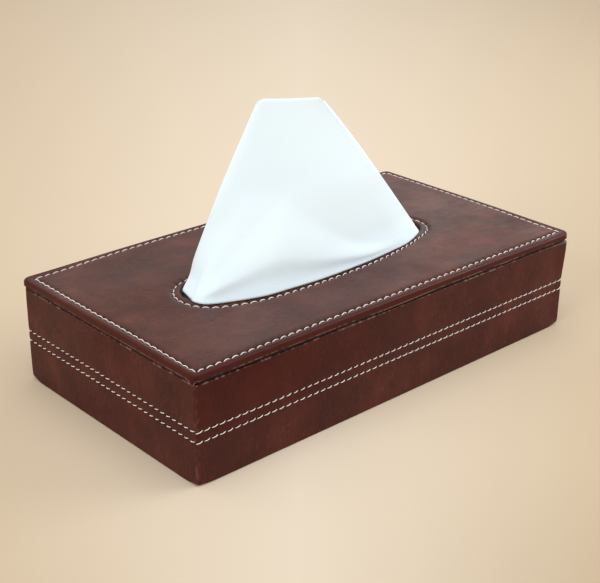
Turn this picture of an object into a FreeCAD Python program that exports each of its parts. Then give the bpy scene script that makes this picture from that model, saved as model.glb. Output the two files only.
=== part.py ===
import FreeCAD, Part
import math
import os

# A leather-covered tissue box: a fibreboard case, and a padded lid that a leather strip hinges to its back wall.
# Millimetres. The origin is the middle of the case's underside, X runs along the case and -Y is its front.

# Case, over its leather
case_length = 250.0
case_width = 134.0
rim_height = 48.8
case_corner_radius = 2.0
leather_thickness = 0.9
rim_rounding = 0.5
foot_rounding = 0.7
hem_width = 12.0
wall_board_thickness = 5.0
base_board_thickness = 3.0
lining_thickness = 0.5

# Lid, over its leather
lid_gap = 0.9
lid_overhang = 1.1
lid_board_thickness = 2.4
padding_thickness = 1.0
lid_corner_radius = 3.0
lid_edge_rounding = 2.0

# Mouth: an oval of two long arcs and two end arcs, placed from the middle of the lid
mouth_length = 156.4
mouth_width = 46.4
mouth_end_radius = 14.2
mouth_x = -4.0
mouth_y = -3.5
mouth_rounding = 1.2

# Stitching
thread_width = 0.8
thread_sunk = 0.3
thread_proud = 0.25
border_stitch_inset = 3.6
mouth_stitch_inset = 3.3
upper_row_height = 26.5
row_spacing = 5.0

# Closure: magnets in the front wall's top edge, steel plates in the lid's board
magnet_length = 12.0
magnet_width = 3.0
magnet_depth = 3.0
plate_length = 16.0
plate_width = 5.0
plate_thickness = 1.0
magnet_from_end = 55.0

# Leather hinge strip along the back edge
hinge_length = 230.0
hinge_thickness = 0.8
wall_leaf_height = 14.0
lid_leaf_depth = 16.0
hinge_pivot_rise = 0.15
hinge_clearance = 0.05

# Tissues: the stack inside, and the sheet that stands in the mouth
stack_length = 205.0
stack_width = 105.0
stack_height = 36.0
sheet_above_stack = 0.3
sheet_thickness = 1.2
sheet_from_mouth = 1.2
sheet_collar = 0.5
sheet_rise = 82.7
sheet_end_angle = 155.0
sheet_top_width = 39.0
sheet_top_bow = 1.5
sheet_top_x = -13.7
sheet_top_twist = -15.0
sheet_corner_share = 0.12

# Worked out from the above
wall_thickness = leather_thickness + wall_board_thickness + lining_thickness
board_top = rim_height - leather_thickness
base_top = leather_thickness + base_board_thickness
floor_top = base_top + lining_thickness
lid_length = case_length + 2 * lid_overhang
lid_width = case_width + 2 * lid_overhang
lid_bottom = rim_height + lid_gap
lid_board_bottom = lid_bottom + lining_thickness
lid_board_top = lid_board_bottom + lid_board_thickness
padding_top = lid_board_top + padding_thickness
lid_top = padding_top + leather_thickness
stack_top = floor_top + stack_height
hinge_axis_y = case_width / 2 + hinge_thickness / 2 + hinge_clearance
hinge_axis_z = rim_height + hinge_pivot_rise
mouth_end_x = mouth_length / 2 - mouth_end_radius
mouth_side_radius = (mouth_end_x**2 + (mouth_width / 2) ** 2 - mouth_end_radius**2) / (
    mouth_width - 2 * mouth_end_radius
)
mouth_side_y = mouth_side_radius - mouth_width / 2
mouth_meet_angle = math.degrees(math.atan2(mouth_side_y, mouth_end_x))
EPSILON = 0.001


def at_angle(centre, radius, degrees, z=0.0):
    """Point on a level circle, from its centre (x, y), its radius and an angle from +X."""
    turn = math.radians(degrees)
    return FreeCAD.Vector(centre[0] + radius * math.cos(turn), centre[1] + radius * math.sin(turn), z)


def level_arc(centre, radius, start, end, z=0.0):
    """Arc of a level circle from one angle to another."""
    points = [at_angle(centre, radius, a, z) for a in (start, (start + end) / 2, end)]
    return Part.Arc(*points).toShape()


def upright(wire, bottom, top):
    """Solid between two heights with a level outline, drawn at Z = 0."""
    solid = Part.Face(wire).extrude(FreeCAD.Vector(0, 0, top - bottom))
    solid.translate(FreeCAD.Vector(0, 0, bottom))
    return solid


def slab(length, width, radius, bottom, top):
    """Upright slab on the Z axis whose four vertical edges are rounded."""
    x, y = length / 2 - radius, width / 2 - radius
    centres = [(x, y), (-x, y), (-x, -y), (x, -y)]
    arcs = [level_arc(c, radius, 90 * n, 90 * n + 90) for n, c in enumerate(centres)]
    edges = []
    for arc, following in zip(arcs, arcs[1:] + arcs[:1]):
        edges.append(arc)
        edges.append(Part.makeLine(arc.lastVertex().Point, following.firstVertex().Point))
    return upright(Part.Wire(edges), bottom, top)


def block(length, width, height, x=0.0, y=0.0, bottom=0.0):
    """Square-edged block whose middle is at x, y and whose underside is at bottom."""
    corner = FreeCAD.Vector(x - length / 2, y - width / 2, bottom)
    return Part.makeBox(length, width, height, corner)


def oval(grow, bottom, top):
    """Solid with the mouth's outline, grown outwards by a distance."""
    meet = mouth_meet_angle
    ends, sides = mouth_end_radius + grow, mouth_side_radius + grow
    arcs = [
        level_arc((mouth_end_x, 0), ends, -meet, meet),
        level_arc((0, -mouth_side_y), sides, meet, 180 - meet),
        level_arc((-mouth_end_x, 0), ends, 180 - meet, 180 + meet),
        level_arc((0, mouth_side_y), sides, 180 + meet, 360 - meet),
    ]
    solid = upright(Part.Wire(arcs), bottom, top)
    solid.translate(FreeCAD.Vector(mouth_x, mouth_y, 0))
    return solid


def round_outer_edges(solid, radius, height, grown):
    """Rounds the level edges at a height that lie within EPSILON of the solid's grown outline."""
    reach_x, reach_y = grown
    edges = []
    for edge in solid.Edges:
        box = edge.BoundBox
        level = abs(box.ZMin - height) < EPSILON and abs(box.ZMax - height) < EPSILON
        outermost = max(abs(box.XMin), abs(box.XMax)) > reach_x - EPSILON
        foremost = max(abs(box.YMin), abs(box.YMax)) > reach_y - EPSILON
        if level and (outermost or foremost):
            edges.append(edge)
    return solid.makeFillet(radius, edges)


def row_thread(height):
    """Thread of one row of stitching round the walls, part sunk in the leather."""
    low, high = height - thread_width / 2, height + thread_width / 2
    proud, sunk = thread_proud, thread_sunk
    outside = slab(
        case_length + 2 * proud, case_width + 2 * proud, case_corner_radius + proud, low, high
    )
    inside = slab(
        case_length - 2 * sunk, case_width - 2 * sunk, case_corner_radius - sunk, low, high
    )
    return outside.cut(inside)


def body_upper_thread():
    return row_thread(upper_row_height)


def body_lower_thread():
    return row_thread(upper_row_height - row_spacing)


def body_leather_wrap():
    """Leather round the walls, turned in over the rim and hemmed under the case."""
    t = leather_thickness
    skin = slab(case_length, case_width, case_corner_radius, 0, rim_height)
    reach = (case_length / 2, case_width / 2)
    skin = round_outer_edges(skin, rim_rounding, rim_height, reach)
    skin = round_outer_edges(skin, foot_rounding, 0, reach)
    boards = slab(case_length - 2 * t, case_width - 2 * t, case_corner_radius - t, t, board_top)
    inside = block(
        case_length - 2 * wall_thickness, case_width - 2 * wall_thickness, t, bottom=board_top
    )
    hem = block(case_length - 2 * hem_width, case_width - 2 * hem_width, t)
    wrap = skin.cut(boards).cut(inside).cut(hem)
    return wrap.cut(body_upper_thread()).cut(body_lower_thread())


def wall_boards():
    """The four fibreboard walls: front and back run the whole length, left and right stand between them."""
    t, board = leather_thickness, wall_board_thickness
    length, width = case_length - 2 * t, case_width - 2 * t
    height = board_top - t
    ring = slab(length, width, case_corner_radius - t, t, board_top)
    ring = ring.cut(block(length - 2 * board, width - 2 * board, height, bottom=t))
    boards = {}
    for name, side in (("front", -1), ("back", 1)):
        strip = block(length, board, height, y=side * (width - board) / 2, bottom=t)
        boards[name] = ring.common(strip)
    for name, side in (("left", -1), ("right", 1)):
        strip = block(board, width - 2 * board, height, x=side * (length - board) / 2, bottom=t)
        boards[name] = ring.common(strip)
    boards["front"] = boards["front"].cut(wall_magnets())
    return boards


def base_board():
    inset = 2 * (leather_thickness + wall_board_thickness)
    return block(
        case_length - inset, case_width - inset, base_board_thickness, bottom=leather_thickness
    )


def wall_lining():
    """Flocked lining on the inner faces of the walls, under the turned-in rim."""
    inset = 2 * (leather_thickness + wall_board_thickness)
    height = board_top - base_top
    outside = block(case_length - inset, case_width - inset, height, bottom=base_top)
    inside = block(
        case_length - 2 * wall_thickness, case_width - 2 * wall_thickness, height, bottom=base_top
    )
    return outside.cut(inside)


def floor_lining():
    return block(
        case_length - 2 * wall_thickness,
        case_width - 2 * wall_thickness,
        lining_thickness,
        bottom=base_top,
    )


def bottom_cover():
    """Non-woven sheet under the case, inside the leather's hem."""
    return block(case_length - 2 * hem_width, case_width - 2 * hem_width, leather_thickness)


def closure_row(length, width, height, bottom):
    """A pair of blocks above the middle of the front wall's board, as a compound of two solids."""
    x = case_length / 2 - magnet_from_end
    y = -(case_width / 2 - leather_thickness - wall_board_thickness / 2)
    return Part.makeCompound([block(length, width, height, side * x, y, bottom) for side in (-1, 1)])


def wall_magnets():
    return closure_row(magnet_length, magnet_width, magnet_depth, board_top - magnet_depth)


def lid_keeper_plates():
    return closure_row(plate_length, plate_width, plate_thickness, lid_board_bottom)


def lid_layer(bottom, top):
    """A layer of the lid inside its leather, with the mouth cut through it."""
    t = leather_thickness
    layer = slab(lid_length - 2 * t, lid_width - 2 * t, lid_corner_radius - t, bottom, top)
    return layer.cut(oval(t, bottom, top))


def lid_board():
    return lid_layer(lid_board_bottom, lid_board_top).cut(lid_keeper_plates())


def lid_padding():
    return lid_layer(lid_board_top, padding_top)


def lid_lining():
    return lid_layer(lid_bottom, lid_board_bottom)


def thread_bottom():
    return lid_top - thread_sunk


def lid_border_thread():
    """Thread of the stitching round the lid's edge, part sunk in the leather."""
    half = thread_width / 2
    far, near = border_stitch_inset - half, border_stitch_inset + half
    corner = lid_corner_radius / 2
    bottom, top = thread_bottom(), lid_top + thread_proud
    outside = slab(lid_length - 2 * far, lid_width - 2 * far, corner + half, bottom, top)
    inside = slab(lid_length - 2 * near, lid_width - 2 * near, corner - half, bottom, top)
    return outside.cut(inside)


def mouth_thread():
    """Thread of the stitching round the mouth, part sunk in the leather."""
    half = thread_width / 2
    bottom, top = thread_bottom(), lid_top + thread_proud
    outside = oval(mouth_stitch_inset + half, bottom, top)
    return outside.cut(oval(mouth_stitch_inset - half, bottom, top))


def lid_cover():
    """Leather over the lid, rolled down over its edges and turned down into the mouth."""
    skin = slab(lid_length, lid_width, lid_corner_radius, lid_bottom, lid_top)
    skin = round_outer_edges(skin, lid_edge_rounding, lid_top, (lid_length / 2, lid_width / 2))
    skin = skin.cut(oval(0, lid_bottom, lid_top))
    lip = [e for e in skin.Edges if mouth_lip(e)]
    skin = skin.makeFillet(mouth_rounding, lip)
    skin = skin.cut(lid_layer(lid_bottom, padding_top))
    return skin.cut(lid_border_thread()).cut(mouth_thread())


def mouth_lip(edge):
    """Whether an edge runs round the mouth at the lid's top."""
    box = edge.BoundBox
    level = abs(box.ZMin - lid_top) < EPSILON and abs(box.ZMax - lid_top) < EPSILON
    middle = edge.valueAt((edge.FirstParameter + edge.LastParameter) / 2)
    inside_x = abs(middle.x - mouth_x) < mouth_length / 2 + EPSILON
    inside_y = abs(middle.y - mouth_y) < mouth_width / 2 + EPSILON
    return level and inside_x and inside_y


def hinge_strip_lower():
    """Leaf of the leather hinge that is glued to the back wall."""
    top = hinge_axis_z - hinge_thickness / 2 - hinge_clearance
    bottom = rim_height - wall_leaf_height
    y = (case_width + hinge_thickness) / 2
    return block(hinge_length, hinge_thickness, top - bottom, y=y, bottom=bottom)


def hinge_strip_upper():
    """Leaf of the leather hinge that is glued under the lid."""
    y = hinge_axis_y - hinge_thickness / 2 - lid_leaf_depth / 2
    bottom = lid_bottom - hinge_thickness
    return block(hinge_length, lid_leaf_depth, hinge_thickness, y=y, bottom=bottom)


def hinge_fold():
    """The fold of the leather hinge, as a round bead on its axis."""
    start = FreeCAD.Vector(-hinge_length / 2, hinge_axis_y, hinge_axis_z)
    return Part.makeCylinder(hinge_thickness / 2, hinge_length, start, FreeCAD.Vector(1, 0, 0))


def tissue_stack():
    return block(stack_length, stack_width, stack_height, bottom=floor_top)


def sheet_band(outer, inner):
    """Closed wire of a thin band from the two arcs of its outer side and the two of its inner side."""
    ends = [Part.makeLine(outer[-1].lastVertex().Point, inner[-1].lastVertex().Point)]
    ends.append(Part.makeLine(inner[0].firstVertex().Point, outer[0].firstVertex().Point))
    return Part.Wire([outer[0], outer[1], ends[0], inner[1], inner[0], ends[1]])


def sheet_foot_arcs(inwards, z):
    """The sheet's path in the mouth: round its left end, then along its front side."""
    meet = mouth_meet_angle
    end, side = (mouth_x - mouth_end_x, mouth_y), (mouth_x, mouth_y + mouth_side_y)
    return [
        level_arc(end, mouth_end_radius - inwards, sheet_end_angle, 180 + meet, z),
        level_arc(side, mouth_side_radius - inwards, 180 + meet, 360 - meet, z),
    ]


def sheet_top_arcs(inwards, z):
    """The sheet's top edge: one gentle arc, in two stretches that match those of its foot."""
    radius = ((sheet_top_width / 2) ** 2 + sheet_top_bow**2) / (2 * sheet_top_bow)
    half = math.degrees(math.asin(sheet_top_width / 2 / radius))
    towards = 270 + sheet_top_twist
    middle = (mouth_x + sheet_top_x, mouth_y)
    centre = at_angle(middle, radius, towards + 180)
    start, end = towards - half, towards + half
    split = start + sheet_corner_share * (end - start)
    centre = (centre.x, centre.y)
    return [
        level_arc(centre, radius - inwards, start, split, z),
        level_arc(centre, radius - inwards, split, end, z),
    ]


def tissue_sheet():
    """The sheet: straight up through the mouth, then narrowing to its top edge."""
    foot_bottom, foot_top = stack_top + sheet_above_stack, lid_top + sheet_collar
    top = lid_top + sheet_rise
    near, far = sheet_from_mouth, sheet_from_mouth + sheet_thickness
    feet = [sheet_band(sheet_foot_arcs(near, z), sheet_foot_arcs(far, z)) for z in (foot_bottom, foot_top)]
    edge = sheet_band(sheet_top_arcs(0, top), sheet_top_arcs(sheet_thickness, top))
    return Part.makeLoft(feet + [edge], True, True)


def export(shape, name):
    shape.exportStep(os.path.join("parts", name + ".step"))


def main():
    os.makedirs("parts", exist_ok=True)
    for side, board in wall_boards().items():
        export(board, side + "_wall_board")
    pieces = [
        base_board,
        body_leather_wrap,
        wall_lining,
        floor_lining,
        bottom_cover,
        body_upper_thread,
        body_lower_thread,
        wall_magnets,
        hinge_strip_lower,
        tissue_stack,
        lid_board,
        lid_padding,
        lid_cover,
        lid_lining,
        lid_keeper_plates,
        lid_border_thread,
        mouth_thread,
        hinge_strip_upper,
        hinge_fold,
        tissue_sheet,
    ]
    for piece in pieces:
        export(piece(), piece.__name__)


main()
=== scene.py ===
"""Looks of a leatherette tissue box with a hinged, padded lid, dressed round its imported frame."""

import math

import bpy
import numpy as np
from mathutils import Matrix, Vector, noise


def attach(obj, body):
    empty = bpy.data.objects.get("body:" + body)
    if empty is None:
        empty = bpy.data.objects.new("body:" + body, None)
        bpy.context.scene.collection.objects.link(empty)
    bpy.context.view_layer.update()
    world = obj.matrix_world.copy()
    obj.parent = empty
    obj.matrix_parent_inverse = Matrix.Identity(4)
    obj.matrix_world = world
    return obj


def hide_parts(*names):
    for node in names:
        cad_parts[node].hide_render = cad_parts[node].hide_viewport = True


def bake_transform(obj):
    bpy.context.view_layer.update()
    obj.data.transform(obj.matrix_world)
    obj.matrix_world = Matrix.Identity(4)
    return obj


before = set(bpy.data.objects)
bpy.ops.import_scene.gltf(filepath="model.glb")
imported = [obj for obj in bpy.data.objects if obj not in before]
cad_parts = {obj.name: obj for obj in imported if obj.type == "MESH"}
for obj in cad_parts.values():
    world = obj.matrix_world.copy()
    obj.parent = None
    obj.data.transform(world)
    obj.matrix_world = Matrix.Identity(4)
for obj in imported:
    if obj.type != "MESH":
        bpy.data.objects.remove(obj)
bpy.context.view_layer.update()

# ------------------------ sizes, in millimetres

CASE_HALF = np.array([125, 67])
RIM_HEIGHT = 48.8
CASE_CORNER = 2
LEATHER = 0.9
RIM_ROUNDING = 0.5
FOOT_ROUNDING = 0.7
# How far up its wall the rounding of a foot corner starts, and how much each corner is rounded.
FOOT_REACH = 4.5
FOOT_CORNERS = {(-1, -1): 0.7, (-1, 1): 1, (1, -1): 1, (1, 1): 1}
HEM = 12
FLANGE = 6.4
BOARD_TOP = 47.9
FLOOR_BOARD_TOP = 3.9
LINING = 0.5

LID_HALF = np.array([126.1, 68.1])
LID_BOTTOM = 49.7
LID_TOP = 54.5
LID_CORNERS = {(-1, -1): 2.4, (1, -1): 4.4, (1, 1): 3, (-1, 1): 4.6}
LID_ROLL = 1.3
LID_CUT_EDGE = 50.85
LID_BOARD_LOW = 50.2
PADDING_LOW = 52.62
PADDING_TOP = 53.6
PILLOW = 0.42

MOUTH_MIDDLE = np.array([-4, -3.5])
MOUTH_END_X = 64
MOUTH_END_RADIUS = 14.2
MOUTH_SIDE_RADIUS = 246.303
MOUTH_SIDE_Y = 223.103
MOUTH_LIP = 1.2
# The lid's plan starts at the right front corner, and the mouth's outline at its right end.
MOUTH_START = 0.0862

BORDER_INSET = 3.6
BORDER_CORNER = 1.5
BORDER_STITCHES = 162
MOUTH_INSET = 3.3
MOUTH_STITCHES = 80
ROW_HEIGHTS = (26.5, 21.5)
ROW_STITCHES = 184
STITCH_BED = LID_TOP - 0.1

HINGE_LENGTH = 230
HINGE_AXIS = (67.45, 48.95)
HINGE_THICKNESS = 0.8
WALL_LEAF_LOW = 34.8
LID_LEAF_REACH = 51.05

WALL_BOARDS = ["front_wall_board", "back_wall_board", "left_wall_board", "right_wall_board"]

STACK_SIZE = (205, 105, 36)
STACK_BOTTOM = 4.4
STACK_LAYERS = 48
LEAF_MARGIN = 1.4
LEAF_SHIFT = 0.7

TISSUE_FOOT = 40.7
TISSUE_NECK = 51
TISSUE_FLARE = 45
TISSUE_SPAN = 9
TISSUE_TOP = 137.2
TISSUE_THICKNESS = 0.3

MM = 0.001


# ------------------------ small helpers


def smooth(value):
    """Smooth step of a number or an array, from 0 at 0 to 1 at 1."""
    x = np.clip(value, 0, 1)
    return x * x * (3 - 2 * x)


def hump(distance, width):
    """Bell curve that is 1 at no distance."""
    return np.exp(-((np.asarray(distance) / width) ** 2))


def waves(line, size, seed, height=0):
    """Smooth noise between about -1 and 1 at a line's points, with features this wide."""
    spots = level(line / size, height) + np.array([17.3, -9.1, 4.7]) * seed
    return np.array([noise.noise(Vector(spot)) for spot in spots])


def quarter_turn(step):
    """What a rounding of radius 1 leaves of its square, along and across, at steps of this many degrees."""
    ways = [math.radians(angle) for angle in range(0, 91, step)]
    return [(1 - math.sin(way), 1 - math.cos(way)) for way in ways]


def level(line, height):
    """An outline lifted to a height."""
    return np.column_stack([line, np.zeros(len(line)) + height])


def levels(ring_at, pairs):
    """Rings from a function of a distance, for pairs of a distance and a height."""
    return [level(ring_at(distance), height) for distance, height in pairs]


def link(name, data):
    """Object in the scene that shows this data."""
    thing = bpy.data.objects.new(name, data)
    bpy.context.scene.collection.objects.link(thing)
    return thing


def finish_mesh(name, points, faces, material):
    """Object with a smooth mesh, from points in millimetres."""
    mesh = bpy.data.meshes.new(name)
    mesh.from_pydata([tuple(p) for p in np.asarray(points) * MM], [], faces)
    mesh.update()
    mesh.shade_smooth()
    mesh.materials.append(material)
    return link(name, mesh)


def grid_faces(rows, count, rows_close=True, ends_meet=True):
    """Faces between rows of points; the rows close on the first, and each on itself, unless said."""
    faces = []
    for row in range(rows if rows_close else rows - 1):
        a, b = row * count, ((row + 1) % rows) * count
        for i in range(count if ends_meet else count - 1):
            j = (i + 1) % count
            faces.append((a + i, a + j, b + j, b + i))
    return faces


def ring_piece(name, rings, material):
    """Closed piece from rings, the last joined to the first."""
    return finish_mesh(name, np.concatenate(rings), grid_faces(len(rings), len(rings[0])), material)


def add_attribute(piece, name, values):
    """Gives each point of a mesh a number that its material can read."""
    attribute = piece.data.attributes.new(name, "FLOAT", "POINT")
    attribute.data.foreach_set("value", np.asarray(values, np.float32).ravel())


def dress(piece, body, node):
    """A finished piece rides on a body and stands in for its node, which is hidden."""
    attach(piece, body)
    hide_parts(node)


# ------------------------ outlines


def rectangle_plan(half, corner, step, turns):
    """Places round a rounded rectangle, anticlockwise from its right front corner.

    Each place is its share of the straight side's half (x, y) and the angle that it faces.
    """
    starts = [(1, -1), (1, 1), (-1, 1), (-1, -1)]
    plan = []
    for side in range(4):
        a, b = np.array(starts[side], float), np.array(starts[(side + 1) % 4], float)
        straight = 2 * (half[1 - side % 2] - corner)
        count = max(int(round(straight / step)), 1)
        for k in range(count):
            plan.append((*(a + (b - a) * k / count), 90 * side))
        for k in range(turns):
            plan.append((*b, 90 * side + 90 * k / turns))
    return np.array(plan)


def facing(plan):
    """The way that each place of a plan faces."""
    way = np.radians(plan[:, 2])
    return np.stack([np.cos(way), np.sin(way)], 1)


def on_rectangle(plan, half, corner):
    """Points of a plan on a rectangle with these half sides and these corner radii."""
    corner = np.reshape(corner, (-1, 1))
    return plan[:, :2] * (half - corner) + corner * facing(plan)


def at_corners(plan, values):
    """Numbers given at a rectangle's corners, eased along its sides."""
    total = np.zeros(len(plan))
    for (x, y), value in values.items():
        total += value * smooth((1 + x * plan[:, 0]) / 2) * smooth((1 + y * plan[:, 1]) / 2)
    return total


def corner_bells(plan, half, values, width):
    """Bell curves round a rectangle's corners, with a height for each corner."""
    total = np.zeros(len(plan))
    for corner, value in values.items():
        away = np.linalg.norm((plan[:, :2] - corner) * half, axis=1)
        total += value * hump(away, width)
    return total


def way_along(points):
    """Distance along a closed outline at each of its points, and the outline's length."""
    gaps = np.linalg.norm(np.roll(points, -1, 0) - points, axis=1)
    return np.concatenate([[0], np.cumsum(gaps)[:-1]]), gaps.sum()


def hole_nearness(line, count):
    """1 at the needle holes halfway between a line's stitches, and 0 away from them."""
    along, length = way_along(line)
    pitch = length / count
    to_hole = np.abs(along / pitch % 1 - 0.5) * pitch
    return hump(to_hole, 0.75)


def area_of(line):
    """Area inside an outline, in square millimetres."""
    x, y = line.T
    return 0.5 * abs(np.dot(x, np.roll(y, -1)) - np.dot(y, np.roll(x, -1)))


# ------------------------ materials


def linear(colour):
    """Linear colour from an sRGB hex value, three linear shares, or one share for a grey."""
    if isinstance(colour, str):
        parts = [int(colour[i : i + 2], 16) / 255 for i in (1, 3, 5)]
        colour = [c / 12.92 if c <= 0.04045 else ((c + 0.055) / 1.055) ** 2.4 for c in parts]
    return (*np.broadcast_to(colour, 3).astype(float), 1)


def per_metre(size):
    """Texture scale at which features are this many millimetres wide."""
    return 1 / (size * MM)


def add_node(tree, kind, values):
    """Adds a node with values for its properties and inputs; sockets are linked."""
    node = tree.nodes.new(kind)
    for place, value in values.items():
        if isinstance(place, str) and place not in node.inputs:
            setattr(node, place, value)
        elif isinstance(value, bpy.types.NodeSocket):
            tree.links.new(value, node.inputs[place])
        else:
            node.inputs[place].default_value = value
    return node


def result(tree, kind, values, which=0):
    """One output of an added node, the first unless said."""
    return add_node(tree, kind, values).outputs[which]


def new_material(name, build, *settings):
    """Material whose shader gets its inputs and bumps from a function that builds in its tree.

    Each bump is a height, its depth in millimetres and a strength.
    """
    material = bpy.data.materials.new(name)
    material.use_nodes = True
    tree = material.node_tree
    tree.nodes.clear()
    inputs, *bumps = build(tree, *settings)
    below = {}
    for height, depth, strength in bumps:
        bump = {"Distance": depth * MM, "Strength": strength, "Height": height, **below}
        below = {"Normal": result(tree, "ShaderNodeBump", bump)}
    bsdf = result(tree, "ShaderNodeBsdfPrincipled", {**inputs, **below})
    add_node(tree, "ShaderNodeOutputMaterial", {"Surface": bsdf})
    return material


def ramp(tree, source, *stops):
    """Colour ramp over a value, from pairs of a place and a colour."""
    node = add_node(tree, "ShaderNodeValToRGB", {0: source})
    band = node.color_ramp.elements
    while len(band) < len(stops):
        band.new(0.5)
    for element, (place, colour) in zip(band, stops):
        element.position = place
        element.color = linear(colour)
    return node.outputs[0]


def here(tree):
    """Object coordinates."""
    return result(tree, "ShaderNodeTexCoord", {}, "Object")


def grain_noise(tree, size, detail=3, roughness=0.55, stretch=(1, 1, 1), offset=(0, 0, 0), twist=0):
    """Noise with features this many millimetres wide, stretched along axes."""
    scale = tuple(1 / s for s in stretch)
    moved = result(tree, "ShaderNodeMapping", {"Scale": scale, "Location": offset, "Vector": here(tree)})
    values = {"Scale": per_metre(size), "Detail": detail, "Roughness": roughness, "Distortion": twist}
    return result(tree, "ShaderNodeTexNoise", {"Vector": moved, **values})


def mixed(tree, share, first, second, blend="MIX"):
    """Two colours mixed; each is a socket or a constant, and so is the share."""
    values = {"data_type": "RGBA", "blend_type": blend, 0: share, 6: first, 7: second}
    return result(tree, "ShaderNodeMix", values, 2)


def multiplied(tree, tone, *casts):
    """A tone multiplied by colours in turn."""
    for cast in casts:
        tone = mixed(tree, 1, tone, cast, "MULTIPLY")
    return tone


def spread(tree, source, low, high, to_low=0, to_high=1):
    """Maps a value's range to another, clamped."""
    return result(tree, "ShaderNodeMapRange", {0: source, 1: low, 2: high, 3: to_low, 4: to_high})


def calculate(tree, operation, first, second=0):
    """A Math node's result; each side is a socket or a number."""
    return result(tree, "ShaderNodeMath", {"operation": operation, 0: first, 1: second})


def times(tree, first, second):
    """A product; each side is a socket or a number."""
    return calculate(tree, "MULTIPLY", first, second)


def point_value(tree, name):
    """A number stored on the mesh's points."""
    return result(tree, "ShaderNodeAttribute", {"attribute_name": name}, "Fac")


def crease_lines(tree, streak, place):
    """Thin strokes in clusters, where a noise crosses a level: 0 in a stroke and 1 elsewhere."""
    wind = grain_noise(tree, 4, 2, 0.5, stretch=tuple(0.8 * s for s in streak), twist=1.5)
    off = calculate(tree, "ABSOLUTE", calculate(tree, "SUBTRACT", wind, place))
    line = spread(tree, off, 0, 0.05)
    calm = spread(tree, grain_noise(tree, 17, 2, 0.5, offset=(place, 0.6, 0.4)), 0.42, 0.56)
    return calculate(tree, "MAXIMUM", line, calm)


def leatherette(tree, tones, streak, roughness, specular, creased):
    """PU leatherette, knife-coated and buffed: cloudy pull-up tones, fine pores, creases and a satin gloss.

    The streak stretches its marks along axes. The mesh says where shade is painted, as a deeper red or near
    black, and where pale edges go: cut and rubbed edges and painted highlights.
    """
    clouds = grain_noise(tree, 30, 4, 0.62, offset=(0.3, 0.1, 0.2))
    marks = grain_noise(tree, 5, 3, 0.6, stretch=streak)
    pores = grain_noise(tree, 1.1, 2, 0.6)
    crease = crease_lines(tree, streak, 0.5)
    worn = ramp(tree, marks, (0.30, (0.92, 0.91, 0.90)), (0.72, (1.07, 1.08, 1.09)))
    speck = ramp(tree, pores, (0.30, 0.93), (0.70, 1.06))
    # The crease lines are painted darker, as shade in them beside their bump, and the pale strokes are
    # scuffs.
    crease_shade = ramp(tree, crease, (0, (0.60, 0.56, 0.55)), (1, 1))
    scuffed = ramp(tree, crease_lines(tree, streak, 0.62), (0, 1.6), (1, 1))
    tone = multiplied(tree, ramp(tree, clouds, *zip((0.32, 0.50, 0.68), tones)), worn, speck)
    tone = mixed(tree, creased, tone, multiplied(tree, tone, multiplied(tree, crease_shade, scuffed)))
    # Painted shade and highlight: a deeper red on sides that face away from the light, near black in needle
    # holes, beside stitches and in gaps and creases, and a pale tone for cut and rubbed edges and painted
    # highlights.
    for place, colour in (("side", "#410D08"), ("pit_and_shade", "#120605"), ("cut", "#8E6A60")):
        tone = mixed(tree, point_value(tree, place), tone, linear(colour))
    gloss = spread(tree, marks, 0.3, 0.7, roughness - 0.04, roughness + 0.05)
    dull = grain_noise(tree, 55, 2, 0.5, offset=(0.7, 0.2, 0.5))
    inputs = {
        "Base Color": tone,
        "Roughness": calculate(tree, "ADD", gloss, spread(tree, dull, 0.35, 0.65, -0.05, 0.06)),
        # The gloss is lowered where side shade is painted.
        "Specular IOR Level": spread(tree, point_value(tree, "side"), 0.0, 1.0, specular, 0.45 * specular),
        "IOR": 1.5,
    }
    return inputs, (marks, 0.25, 0.3), (crease, 0.14, 0.55 * creased), (pores, 0.09, 0.4)


def thread(tree):
    """Waxed polyester thread, twisted from plies: a cream line with slanting shadows and a soft shine."""
    # The plies lie 1.1 mm apart, coarser than real ones, so that the twist shows.
    turns = times(tree, point_value(tree, "along"), 1 / 1.1)
    turns = calculate(tree, "ADD", turns, point_value(tree, "around"))
    ply = spread(tree, calculate(tree, "SINE", times(tree, turns, math.tau)), -1, 1)
    tone = ramp(tree, ply, (0, "#F0DFD6"), (0.4, "#FFF3EC"), (1, "#FFFBF7"))
    return {"Base Color": tone, "Roughness": 0.42, "Sheen Weight": 0.3}, (ply, 0.08, 0.6)


def tissue(tree):
    """Two-ply tissue, creped and calendered: near white with a cool cast, matt, and faint crepe lines."""
    crepe = grain_noise(tree, 1.6, 2, 0.6, stretch=(3, 3, 0.7))
    fibres = grain_noise(tree, 0.7, 2, 0.7)
    tone = ramp(tree, fibres, (0.25, "#E4F5FF"), (0.75, "#ECF9FF"))
    # Painted shade: a greyer tone where the mesh asks for it.
    tone = mixed(tree, point_value(tree, "tissue_shade"), tone, linear("#E1EEF4"))
    inputs = {"Base Color": tone, "Roughness": 0.92, "Specular IOR Level": 0.2, "Sheen Weight": 0.15}
    return inputs, (crepe, 0.06, 0.3), (fibres, 0.04, 0.3)


def fibreboard(tree):
    """Medium-density fibreboard, pressed and sawn: tan, with fine dark and pale fibres."""
    fibres = grain_noise(tree, 1.4, 4, 0.7)
    tone = ramp(tree, fibres, (0.3, "#8A6A48"), (0.5, "#B08E68"), (0.7, "#C9AB86"))
    return {"Base Color": tone, "Roughness": 0.85}, (fibres, 0.1, 0.4)


def flock(tree):
    """Flocked lining, short fibres blown on glue: matt black-brown with a velvety rim."""
    pile = grain_noise(tree, 0.9, 3, 0.75)
    shade = ramp(tree, grain_noise(tree, 22, 2, 0.5), (0.3, 0.85), (0.7, 1.15))
    tone = multiplied(tree, ramp(tree, pile, (0.3, "#120E0D"), (0.7, "#241D1B")), shade)
    velvet = {"Sheen Weight": 0.15, "Sheen Roughness": 0.4}
    return {"Base Color": tone, "Roughness": 0.95, "Specular IOR Level": 0.1, **velvet}, (pile, 0.12, 0.6)


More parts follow.
